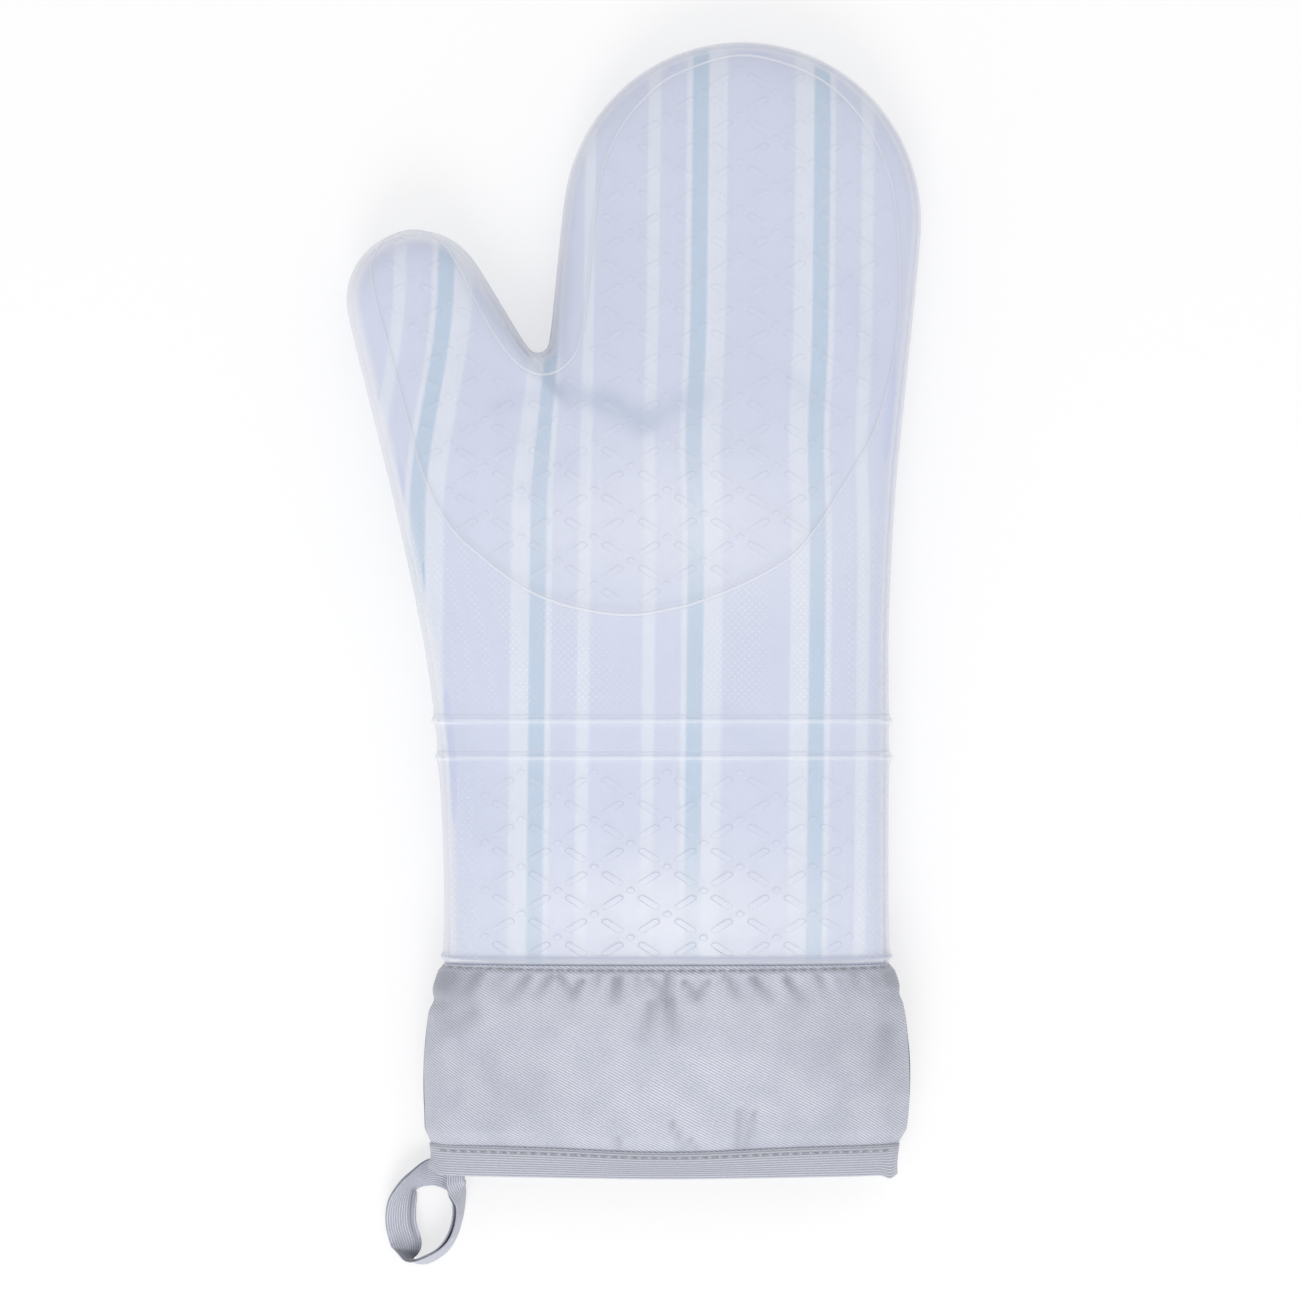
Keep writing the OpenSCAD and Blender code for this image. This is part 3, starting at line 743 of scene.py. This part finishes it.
# Folds where the liner sinks away from the silicone, drawn only as painted shade: from, to, width and
# depth, in millimetres
HOLLOWS = [(-45, 80, -26, 85.5, 3.0, 0.35), (-26, 85.5, -8, 81, 4.0, 0.8),
           (-8, 81, 3, 75, 4.5, 0.95), (3, 75, 21, 84, 4.5, 0.75),
           (52, 88, 60, 82, 4.0, 0.35), (-34, 52, -20, 62, 5.0, 0.3),
           (-24, 128, -27, 100, 4.0, 0.35), (70, 120, 78, 95, 5.0, 0.25),
           (-58, -30, -50, -60, 6.0, 0.25), (30, -20, 44, -34, 5.0, 0.2)]


def fold_depth(x, y, folds, fade=0.0):
    """How far the cloth sinks at plan points, in millimetres; towards its end a fold loses the
    share fade of its depth, and widens as much."""
    total = np.zeros(len(x))
    for x0, y0, x1, y1, width, depth in folds:
        along, up = x1 - x0, y1 - y0
        t = ((x - x0) * along + (y - y0) * up) / (along ** 2 + up ** 2)
        near = np.clip(t, 0, 1)
        gap = np.hypot(x - x0 - near * along, y - y0 - near * up)
        total += depth * (1 - fade * near) * hill(gap, 0, width * (1 + fade * near))
    return total


class MITT_OT_liner(Operator):
    """Builds the striped liner faces, the wadding and the linings"""
    bl_idname = "mitt.liner"
    bl_label = "Liner"

    def execute(self, context):
        sizes, colours = chosen(context)
        striped = striped_percale(sizes, colours)
        wadding = fibre_cloth("wadding_needled_polyester", colours.wadding, 420.0, 0.3 * MM)
        lining = fibre_cloth("lining_brushed_cotton", colours.lining, 900.0, 0.15 * MM)
        for side in ("front", "back"):
            face = copy_of("liner_face_" + side, "striped_face_" + side, 2, 0.0, 8 * MM)
            x, y, _ = points_of(face).T / MM
            give_uv(face, np.stack([x - stripe_shift(x, y) + 5.5, y], axis=1))
            # painted light in two soft patches, low on the hand and on the palm, and painted shade along
            # the folds
            paint(face, "lift", np.clip(0.75 * blob(x, y, (12, -88), (50, 22))
                                        + 0.5 * blob(x, y, (14, 40), (52, 24)), 0, 0.8))
            paint(face, "crease", np.clip(0.7 * fold_depth(x, y, HOLLOWS), 0, 0.75))
            dress(face, striped, "mitt", "liner_fabric", "liner_face_" + side)
            pad = copy_of("wadding_" + side, "wadding_pad_" + side, 1)
            dress(pad, wadding, "mitt", "wadding", "wadding_" + side)
            inner = copy_of("lining_" + side, "inner_lining_" + side, 1)
            dress(inner, lining, "mitt", "lining", "lining_" + side)
        return {"FINISHED"}


# ---- The cuff, the hem binding and the seams ----

# Folds of the cuff: from, to, width and depth, in millimetres from the middle of its top edge.
# The gathers under the upper seam fan out, two grooves run on below them near the middle, and
# a few short ones lie above the hem
FOLDS = [
    (-70.6, -4, -74.7, -12.2, 3.5, 0.6), (-60.7, -3.1, -66.5, -10.6, 2.1, 0.7),
    (-52.5, -3.1, -55.8, -9, 1.8, 0.4), (-45, -3.5, -51.2, -10.6, 1.8, 0.7),
    (-37.6, -3.5, -42.2, -9.7, 1.4, 0.8), (-34.7, -3.5, -31, -8.9, 1.3, 0.8),
    (-27.7, -5.2, -30.2, -10.1, 1.3, 1.0), (-21.9, -3.5, -22.8, -7.3, 1.1, 0.5),
    (-15.8, -4.4, -16.6, -10.6, 1.4, 1.3), (-9.6, -4, -8.7, -8.5, 1.1, 0.5),
    (-5, -4.4, -1.7, -9.3, 1.2, 0.8), (0.5, -3.5, 0, -11, 1.5, 1.1),
    (6.1, -5.6, 9.4, -10.1, 1.2, 0.9), (13.5, -5.2, 9.8, -10.1, 1.1, 0.8),
    (19.3, -3.5, 23, -10.1, 1.3, 0.9), (28.4, -4.4, 33.3, -10.6, 1.4, 1.0),
    (39.1, -4.4, 43.2, -10.6, 1.4, 1.0), (49, -3.5, 52.3, -8.9, 1.6, 0.5),
    (60.5, -3.1, 62.2, -7.3, 1.6, 0.4), (72.9, -4.5, 76.2, -9.1, 3, 0.5),
    (-5, -12.6, -7.3, -23.3, 1.8, 0.7), (0.5, -11, 2.4, -23.8, 1.8, 0.9),
    (-63.2, -15.9, -77.6, -24.2, 3, 0.45), (71.3, -22, 68.8, -36, 4, 0.5),
    (1.6, -49.7, 5.7, -58, 1, 0.6), (7.8, -55.5, 10.6, -60, 1, 0.6),
    (24.1, -46.4, 23.3, -59.4, 1, 0.7), (28.2, -47.7, 26.3, -59.4, 1, 0.6),
    (-16.2, -55.5, -15.7, -60, 1, 0.6),
]


def ripple(x, seed, count, lengths):
    """A sum of gentle waves of the given lengths, the same on every run, from -1 to 1."""
    chance = np.random.default_rng(seed)
    total = np.zeros(len(x))
    for _ in range(count):
        length = chance.uniform(*lengths)
        total += np.sin(2 * np.pi * x / length + chance.uniform(0, 2 * np.pi))
    return total / count


def outward(points, middle_z, half_w, half_h):
    """Directions away from the mitt's long axis at points of the cuff."""
    away = np.stack([(points[:, 0] - CUFF_X) / half_w ** 2, np.zeros(len(points)),
                     (points[:, 2] - middle_z) / half_h ** 2], axis=1)
    return away / np.linalg.norm(away, axis=1)[:, None]


def hem_sag(x, sag):
    """How far the hem hangs below its ends at places across the mitt, in metres."""
    return sag * hill(x / MM, 11, 34)


def stitch_row(name, line, drops, sizes, thread, slot):
    """A row of short stitches along a line of the plan, front and back, sunk in the cloth."""
    bpy.ops.mesh.primitive_uv_sphere_add(segments=8, ring_count=6, radius=0.5)
    shape = bpy.context.object
    bpy.ops.object.shade_smooth()
    shape.scale = (sizes.stitch * 0.82, sizes.thread, sizes.thread)
    bpy.ops.object.transform_apply()
    steps = np.linalg.norm(np.diff(line, axis=0), axis=1)
    along = np.concatenate([[0], np.cumsum(steps)])
    copies = []
    for at in np.arange(sizes.stitch / 2, along[-1], sizes.stitch):
        spot, ahead = (np.array([np.interp(at + more, along, row) for row in line.T])
                       for more in (0, 0.2 * MM))
        for side in (1, -1):
            base, normal = drops[side](*spot, side)
            if base is None:
                continue
            way = Vector((*(ahead - spot), 0)).normalized()
            way = (way - normal * way.dot(normal)).normalized()
            over = normal.cross(way)
            copy = new_piece("stitch", shape.data.copy())
            for v in copy.data.vertices:
                co = base + way * v.co.x + over * v.co.y + normal * (v.co.z + 0.08 * MM)
                v.co = (co.x, co.y, max(co.z, 0.0))
            copies.append(copy)
    bpy.data.objects.remove(shape)
    dress(join(copies, name), thread, "mitt", slot)


class MITT_OT_cuff(Operator):
    """Builds the gathered twill cuff and the stitches along its upper edge"""
    bl_idname = "mitt.cuff"
    bl_label = "Cuff"

    def execute(self, context):
        sizes, colours = chosen(context)
        twill = grey_twill(sizes, colours)
        middle_z = (CUFF_LOW.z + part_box("cuff_back")[1].z) / 2
        half_w = (CUFF_HIGH.x - CUFF_LOW.x) / 2
        half_h = CUFF_HIGH.z - middle_z
        drops = {}
        for side, name, seed in ((1, "front", 3), (-1, "back", 8)):
            piece = copy_of("cuff_" + name, "twill_cuff_" + name, 4)
            points = points_of(piece)
            x = (points[:, 0] - CUFF_X) / MM
            y = (points[:, 1] - CUFF_HIGH.y) / MM
            folds = fold_depth(x * side, y, FOLDS, 0.6)
            near_seam = hill(y, -4, 5) * smooth((-y - 1.5) / 2)
            gather = ripple(x + 0.35 * x / CUFF_HALF * y, seed, 5, (5, 11)) * near_seam
            sink = folds + 0.4 * gather
            sink += 0.5 * ripple(x - 0.5 * y, seed + 1, 4, (28, 60)) * smooth(-y / 20)
            # the stitches pull the cloth down along the seam
            groove = hill(y, self.seam(x), 0.7)
            sink += 0.5 * groove
            calm = smooth((y + 59.5) / 5)
            # the cloth swells more slowly at the two sides, and is pinched in once on each
            ramp = 2.5 + 6.5 * smooth((np.abs(x) - 56) / 18)
            puff = sizes.puff / MM * smooth((-y - 0.3) / ramp)
            if side < 0:
                # it can't swell where the mitt rests on it
                puff *= smooth((points[:, 2] / MM - 0.5) / 8)
            sink = (sink - puff) * calm
            sink += 1.2 * hill(y, -12.6, 2.4) * smooth((-x - 66) / 8)
            sink += 0.8 * hill(y, -10.5, 2.2) * smooth((x - 66) / 8)
            # painted shade: broad soft patches, less in the middle and more low at the left, at the
            # right, towards the right side and in the top corners, added below to painted shade in the
            # folds, the gathers and the seam's groove
            soft = (0.1 - 0.1 * blob(x, y, (0, -38), (50, 30)) + 0.16 * blob(x, y, (-51, -40), (24, 18))
                    + 0.16 * blob(x, y, (51, -24), (26, 10)) + 0.08 * smooth((x - 25) / 35)
                    + 0.4 * blob(np.abs(x), y, (75, -5), (12, 8)))
            paint(piece, "shade", np.clip(0.95 * folds * smooth((-y - 1.5) / 2) + 0.2 * gather
                                          + 0.25 * groove + soft, 0, 0.85))
            give_uv(piece, np.stack([x + 9 * (x / CUFF_HALF) ** 5, y], axis=1))
            moved = points - outward(points, middle_z, half_w, half_h) * (sink * MM)[:, None]
            moved[:, 0] -= 1.3 * MM * smooth((-y - 48) / 16) * smooth((-x - 62) / 12)
            moved[:, 1] -= hem_sag(moved[:, 0], sizes.sag) * smooth((-y - 25) / 30)
            if side < 0:
                moved[:, 2] = np.maximum(moved[:, 2], 0.0)
            set_points(piece, moved)
            dress(piece, twill, "mitt", "cuff_twill", "cuff_" + name)
            drops[side] = skin_of(piece)
        across = np.linspace(-SEAM_HALF, SEAM_HALF, 120)
        line = np.stack([CUFF_X + across * MM, CUFF_HIGH.y + self.seam(across) * MM], axis=1)
        stitch_row("seam_stitches", line, drops, sizes, spun_thread(colours), "cuff_twill")
        return {"FINISHED"}

    def seam(self, x):
        """Height of the upper row of stitches across the cuff, in millimetres."""
        return -1.2 - 0.7 * (1 - (x / SEAM_HALF) ** 2)


class MITT_OT_binding(Operator):
    """Builds the tape that binds the hem and the stitches that hold it"""
    bl_idname = "mitt.binding"
    bl_label = "Hem binding"

    def execute(self, context):
        sizes, colours = chosen(context)
        tape = ribbed_tape("binding_twill_tape", sizes, colours, 0.97)
        piece = copy_of("hem_binding", "binding_tape", 3, 0.75)
        points = points_of(piece)
        x, y, _ = points.T.copy()
        low = 1 - smooth((y - HEM_LOW.y) / (7 * MM))
        # the strip's end sticks out a little at the right of the hem
        tail = 1.3 * MM * hill(x, HEM_HIGH.x - 4.2 * MM, 2.2 * MM)
        corner = 2.2 * MM * smooth((HEM_LOW.x + 6 * MM - x) / (6 * MM))
        left = smooth((HEM_LOW.x + 9 * MM - x) / (9 * MM))
        give_uv(piece, points[:, :2] / MM)
        points[:, 0] -= (1.4 + 1.6 * low) * MM * left
        sag = hem_sag(points[:, 0], sizes.sag)
        points[:, 1] += low * (corner - tail) - sag * (1 - 0.7 * low)
        set_points(piece, points)
        height = (points[:, 1] + sag - HEM_LOW.y) / MM
        paint(piece, "shade", np.clip(0.35 * smooth((height - 8.6) / 1.4)
                                      + 0.25 * hill(height, 8.2, 0.5), 0, 1))
        dress(piece, tape, "mitt", "binding_twill", "hem_binding")
        drop = skin_of(piece)
        x = np.linspace(HEM_LOW.x + 3 * MM, HEM_HIGH.x - 3 * MM, 120)
        line = np.stack([x, HEM_HIGH.y - 1.8 * MM - hem_sag(x, sizes.sag)], axis=1)
        thread = bpy.data.materials.get("thread_spun_polyester") or spun_thread(colours)
        stitch_row("hem_stitches", line, {1: drop, -1: drop}, sizes, thread, "binding_twill")
        return {"FINISHED"}


# ---- The hanging loop ----

# The tape's middle line as it lies: shares of the way from the sewn ends to the loop's far
# left and its far end, drop in millimetres, and lean of the tape's upper edge in degrees
ROUTE = np.array([
    (0.09, -0.023, 0, 90), (0.094, 0.015, 0.9, 90), (0.138, 0.021, 5.1, 84),
    (0.24, -0.024, 9.9, 80), (0.391, -0.053, 10.8, 76), (0.572, 0.003, 10.2, 47),
    (0.74, 0.112, 9.6, 33), (0.817, 0.308, 10.4, 60), (0.826, 0.566, 11.3, 82),
    (0.754, 0.822, 11.2, 74), (0.72, 0.997, 10.4, 8), (0.538, 1.022, 10.2, -16),
    (0.309, 0.914, 10.1, -17), (0.166, 0.749, 9.5, -14), (0.077, 0.513, 7.7, -13),
    (0.044, 0.257, 4.6, -20), (0.068, 0.117, 1.8, -48), (0.088, 0.043, 0.2, -78),
    (0.09, -0.023, 0, -90)])
LAST = len(ROUTE) - 1

# Between the tape's two ends where they are sewn in, in millimetres
LAYER_GAP = 0.3


def route_at(t):
    """The route's four numbers at a place along it, which is given by the count of points."""
    i = min(int(t), LAST - 1)
    return spline(*np.pad(ROUTE, ((1, 1), (0, 0)), "edge")[i:i + 4], t - i)


class MITT_OT_loop(Operator):
    """Builds the folded tape of the hanging loop, from one sewn end round to the other"""
    bl_idname = "mitt.loop"
    bl_label = "Hanging loop"

    def execute(self, context):
        sizes, colours = chosen(context)
        # the loop's copy of the tape is painted lighter, to offset the shade on its leaning strands
        tape = ribbed_tape("loop_twill_tape", sizes, colours, 1.06)
        low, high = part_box("loop_sewn_ends")
        self.pivot = Vector(((low.x + high.x) / 2, low.y - (LAYER_GAP * 1.5 + 1.2) * MM,
                             (low.z + high.z) / 2))
        self.reach = self.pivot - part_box("hanging_loop")[0]
        self.layer = (sizes.tape_thickness / MM + LAYER_GAP) / 2
        self.root, self.full = sizes.root_width, sizes.tape_width
        places = np.linspace(high.y, low.y, 6, endpoint=False)
        rings = [self.tucked(y, -1) for y in places]
        # seven rings to each stretch of the route, whose two ends are left to the tucked tape
        rings += [self.ring(t) for t in np.linspace(0.3, LAST - 0.3, LAST * 7 + 1)]
        rings += [self.tucked(y, 1) for y in reversed(places)]
        piece = self.sweep(rings, sizes.tape_thickness / 2)
        dress(piece, tape, None, "tape", "hanging_loop", "loop_sewn_ends")
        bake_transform(piece)
        return {"FINISHED"}

    def point(self, t):
        left, far, drop, _ = route_at(t)
        side = smooth((t - LAST / 2 + 1.5) / 3) * 2 - 1
        return self.pivot + Vector((-self.reach.x * left, -self.reach.y * far,
                                    (self.layer * side - drop) * MM))

    def ring(self, t):
        """A place on the route: middle, directions across and through the tape, width, how far
        its layers part in millimetres, and how much it curls up and how much painted shade it
        carries (0 to 1)."""
        way = (self.point(t + 0.05) - self.point(t - 0.05)).normalized()
        out = way.cross(Vector((0, 0, 1))).normalized()
        rise = out.cross(way)
        lean = math.radians(route_at(t)[3])
        across = math.cos(lean) * rise + math.sin(lean) * out
        width = self.root + (self.full - self.root) * smooth(min(t, LAST - t) / 3.6)
        width *= 1 + 0.09 * hill(t, 8.7, 1.1)
        parted = 0.35 * smooth((t - 11.5) / 2) * smooth((LAST - 1.5 - t) / 1.5)
        curl = smooth((t - 5.2) / 1.2) * smooth((9.5 - t) / 1.2)
        # painted shade on the inner face where the tape turns at the bottom, and a little up the right
        # strand
        dark = (0.9 * smooth((t - 9.2) / 0.3) * smooth((11 - t) / 0.7) + 0.1 * smooth((t - 10.3) / 1.5))
        return self.point(t), across, way.cross(across), width, parted, curl, dark

    def tucked(self, y, side):
        """The same where the tape lies flat in the mouth's corner, sewn in."""
        middle = Vector((self.pivot.x - self.reach.x * ROUTE[0][0], y,
                         self.pivot.z + side * self.layer * MM))
        return middle, Vector((-1, 0, 0)), Vector((0, 0, side)), self.root, 0.0, 0.0, 0.0

    def profile(self, width, thick, parted, curl):
        """The folded tape's section: two layers that join in a fold along the lower edge."""
        half = width / 2
        gap = 0.1 * MM
        outer = [(half - width * 0.94 * k / 8, thick if k else 0.85 * thick) for k in range(9)]
        fold = [(thick - half - thick * math.sin(a), thick * math.cos(a))
                for a in [math.pi * k / 8 for k in range(1, 8)]]
        within = [(half - width * 0.9 * k / 8, gap if k < 8 else 0.0) for k in range(9)]
        section = (outer + fold + [(a, -b) for a, b in reversed(outer)]
                   + [(a, -b) for a, b in within] + within[-2::-1])
        bent = []
        for a, b in section:
            open_share = ((a + half) / width) ** 2
            inner = max(0.0, -a / half - 0.25) / 0.75
            bent.append((a, b + math.copysign(parted * MM * open_share, b)
                         - 1.6 * curl * MM * inner ** 2))
        return bent

    def sweep(self, rings, thick):
        made, uv, shade = [], [], []
        length, before = 0.0, rings[0][0]
        for middle, across, through, width, parted, curl, dark in rings:
            length += (middle - before).length
            before = middle
            section = self.profile(width, thick, parted, curl)
            made.append([middle + across * a + through * b for a, b in section])
            uv += [(length / MM, a / MM) for a, b in section]
            for k, (a, b) in enumerate(section):
                groove = hill(a / width, -0.32, 0.05) if b < 0 else 0.0
                # the section's first 25 points lie outside, and the rest between the layers, which are
                # painted in shade; so is the groove of the curled lip
                within = 0.5 if k >= 25 else 0.0
                shade.append(min(1.0, within + 0.7 * curl * groove + (dark if b < 0 else 0)))
        piece = swept("loop_tape", made, False)
        give_uv(piece, np.array(uv))
        paint(piece, "shade", shade)
        bpy.ops.object.shade_smooth_by_angle(angle=math.radians(50))
        return piece


# ---- The stage ----

class MITT_OT_stage(Operator):
    """Builds the pale floor, the soft light and the camera"""
    bl_idname = "mitt.stage"
    bl_label = "Stage"

    def execute(self, context):
        scene, colours = context.scene, context.scene.mitt_colours
        bpy.ops.mesh.primitive_plane_add(size=8, location=(0, 0, FLOOR))
        floor = context.object
        floor.name = "floor"
        bpy.ops.object.transform_apply()
        # matt painted board: its own colour, lit a little for the eye alone so that it is white
        material, tree, shader = start_material("floor_painted_board", Roughness=0.9,
                                                Base_Color=colours.floor, Specular_IOR_Level=0.1)
        rays = add(tree, "LightPath")
        eye = scaled(tree, rays.outputs["Is Camera Ray"], 0.6)
        white = add(tree, "Emission", Color=(1, 1, 1))
        both = add(tree, "MixShader", i0=eye, i1=shader, i2=white)
        feed(tree, tree.nodes["Material Output"], "Surface", both)
        floor.data.materials.append(material)

        world = bpy.data.worlds.new("studio")
        scene.world = world
        world.use_nodes = True
        nodes = world.node_tree
        nodes.nodes.clear()
        rays = add(nodes, "LightPath")
        # the air is white to the eye, straight or mirrored, and lights the mitt a little less
        seen = rays.outputs["Is Camera Ray"]
        for ray in ("Is Glossy Ray", "Is Transmission Ray"):
            seen = add(nodes, "Math", operation="MAXIMUM", i0=seen, i1=rays.outputs[ray])
        light, backdrop = (add(nodes, "Background", Color=(1, 1, 1), Strength=power)
                           for power in (0.8, 1.0))
        both = add(nodes, "MixShader", i0=seen, i1=light, i2=backdrop)
        add(nodes, "OutputWorld", Surface=both)

        self.lamp("key", (-0.1, -1.0, 0.95), 0.7, 6.5)
        self.lamp("fill", (0.3, 0.5, 1.4), 1.2, 1.5)

        data = bpy.data.cameras.new("camera")
        data.lens, data.sensor_width = 140, 36
        data.clip_start, data.clip_end = 0.01, 50
        camera = new_piece("camera", data)
        # straight above the mitt, so high that the view is this wide half way up the mitt
        view_width, half_way = 0.429, 15 * MM
        camera.location = (5.05 * MM, 0.615 * MM, half_way + view_width * data.lens / data.sensor_width)
        scene.camera = camera
        scene.view_settings.view_transform = "Standard"
        return {"FINISHED"}

    def lamp(self, name, spot, width, power):
        data = bpy.data.lights.new(name, "AREA")
        data.shape = "DISK"
        data.size, data.energy = width, power
        lamp = new_piece(name, data)
        lamp.location = spot
        lamp.rotation_euler = (-Vector(spot)).to_track_quat("-Z", "Y").to_euler()


OPERATORS = (MITT_OT_glove, MITT_OT_liner, MITT_OT_cuff, MITT_OT_binding, MITT_OT_loop,
             MITT_OT_stage)


class MITT_PT_panel(Panel):
    """Lists the steps that dress the mitt, with their sizes and colours"""
    bl_label = "Oven mitt"
    bl_idname = "MITT_PT_panel"
    bl_space_type = "VIEW_3D"
    bl_region_type = "UI"
    bl_category = "Oven mitt"

    def draw(self, context):
        for group in chosen(context):
            box = self.layout.box()
            for key in group.__annotations__:
                box.prop(group, key)
        for step in OPERATORS:
            self.layout.operator(step.bl_idname)


CLASSES = (MittSizes, MittColours, *OPERATORS, MITT_PT_panel)


def register():
    for kind in CLASSES:
        bpy.utils.register_class(kind)
    bpy.types.Scene.mitt_sizes = PointerProperty(type=MittSizes)
    bpy.types.Scene.mitt_colours = PointerProperty(type=MittColours)


def unregister():
    del bpy.types.Scene.mitt_colours
    del bpy.types.Scene.mitt_sizes
    for kind in reversed(CLASSES):
        bpy.utils.unregister_class(kind)


def main():
    register()
    for step in OPERATORS:
        group, name = step.bl_idname.split(".")
        getattr(getattr(bpy.ops, group), name)()


if __name__ == "__main__":
    main()
